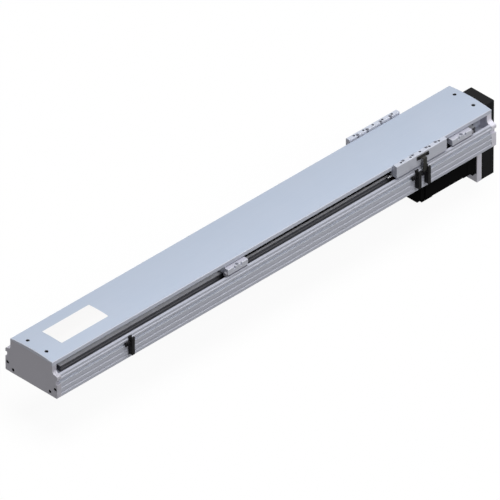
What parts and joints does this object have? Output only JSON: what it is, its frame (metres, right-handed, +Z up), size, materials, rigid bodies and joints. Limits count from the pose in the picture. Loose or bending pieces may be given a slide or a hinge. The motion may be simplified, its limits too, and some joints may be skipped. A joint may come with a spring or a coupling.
{
  "type": "ball screw linear module",
  "caption": "Long covered linear actuator: a ball screw drives a winged carriage on two rails, with floating screw supports, slot sensors and a belt drive from a folded motor.",
  "frame": {"origin": "middle of the flat mounting face under the base extrusion", "axes": "+X along the module towards the belt drive, +Y to the side without sensors, +Z up"},
  "size_m": [1.1803, 0.1467, 0.177],
  "materials": {
    "anodised_aluminium": "satin anodised",
    "cover_aluminium": "fine blasted and clear anodised",
    "rail_steel": "ground",
    "screw_steel": "ground",
    "black_oxide": "black oxide",
    "black_plastic": "moulded",
    "black_paint": "black satin",
    "wiper_plastic": "moulded",
    "bush_plastic": "moulded",
    "rubber": "matt",
    "bumper_rubber": "matt"
  },
  "bodies": {
    "base": {"base_profile": "anodised_aluminium", "top_cover": "cover_aluminium", "near_end_cap": "anodised_aluminium", "near_bearing_housing": "anodised_aluminium", "far_bearing_housing": "anodised_aluminium", "near_bearing": "screw_steel", "far_bearing": "screw_steel", "motor_plate": "anodised_aluminium", "belt_cover": "black_paint", "motor_flange": "black_paint", "motor_body": "black_paint", "encoder_cap": "black_plastic", "motor_socket": "black_plastic", "rail_left": "rail_steel", "rail_right": "rail_steel", "rail_screws": "black_oxide", "sensor_near": "black_plastic", "sensor_home": "black_plastic", "sensor_far": "black_plastic", "sensor_screws": "black_oxide", "slot_nuts": "screw_steel", "cover_screws": "black_oxide", "end_cap_screws": "black_oxide", "motor_plate_screws": "black_oxide", "belt_cover_screws": "black_oxide", "motor_screws": "black_oxide", "timing_belt": "rubber", "housing_screws": "black_oxide"},
    "slider": {"slider_plate": "anodised_aluminium", "wing_left": "anodised_aluminium", "wing_right": "anodised_aluminium", "wing_screws": "screw_steel", "carriage_screws": "black_oxide", "guide_block_near_left": "rail_steel", "guide_block_near_right": "rail_steel", "guide_block_far_left": "rail_steel", "guide_block_far_right": "rail_steel", "guide_wipers": "wiper_plastic", "nut_bracket": "anodised_aluminium", "ball_nut": "screw_steel", "nut_screws": "black_oxide", "sensor_flag": "black_paint", "flag_screws": "black_oxide"},
    "screw": {"ball_screw": "screw_steel", "near_bearing_inner": "screw_steel", "far_bearing_inner": "screw_steel", "lock_nut": "black_oxide", "driven_pulley": "anodised_aluminium"},
    "motor_rotor": {"motor_shaft": "screw_steel", "drive_pulley": "anodised_aluminium"},
    "supports": {"support_near": "anodised_aluminium", "support_far": "anodised_aluminium", "support_bushes": "bush_plastic", "glide_pads": "black_plastic", "support_screws": "screw_steel", "link_rod_left": "black_paint", "link_rod_right": "black_paint", "support_bumpers": "bumper_rubber"}
  },
  "joints": [
    {"name": "slider_slide", "type": "slide", "parent": "base", "child": "slider", "axis": [1, 0, 0], "range_m": [-0.764, 0.01]},
    {"name": "support_slide", "type": "slide", "parent": "base", "child": "supports", "axis": [1, 0, 0], "range_m": [-0.383, 0.006]},
    {"name": "screw_spin", "type": "hinge", "parent": "base", "child": "screw", "pos_m": [0, 0, 0.034], "axis": [1, 0, 0], "range_deg": [-181, 13753]},
    {"name": "motor_spin", "type": "hinge", "parent": "base", "child": "motor_rotor", "pos_m": [0.56, 0, -0.0535], "axis": [1, 0, 0], "range_deg": [-181, 13753]}
  ],
  "couplings": [
    {"joint": "support_slide", "follows": "slider_slide", "ratio": 0.5},
    {"joint": "screw_spin", "follows": "slider_slide", "rad_per_m": -314.16},
    {"joint": "motor_spin", "follows": "slider_slide", "rad_per_m": -314.16}
  ]
}
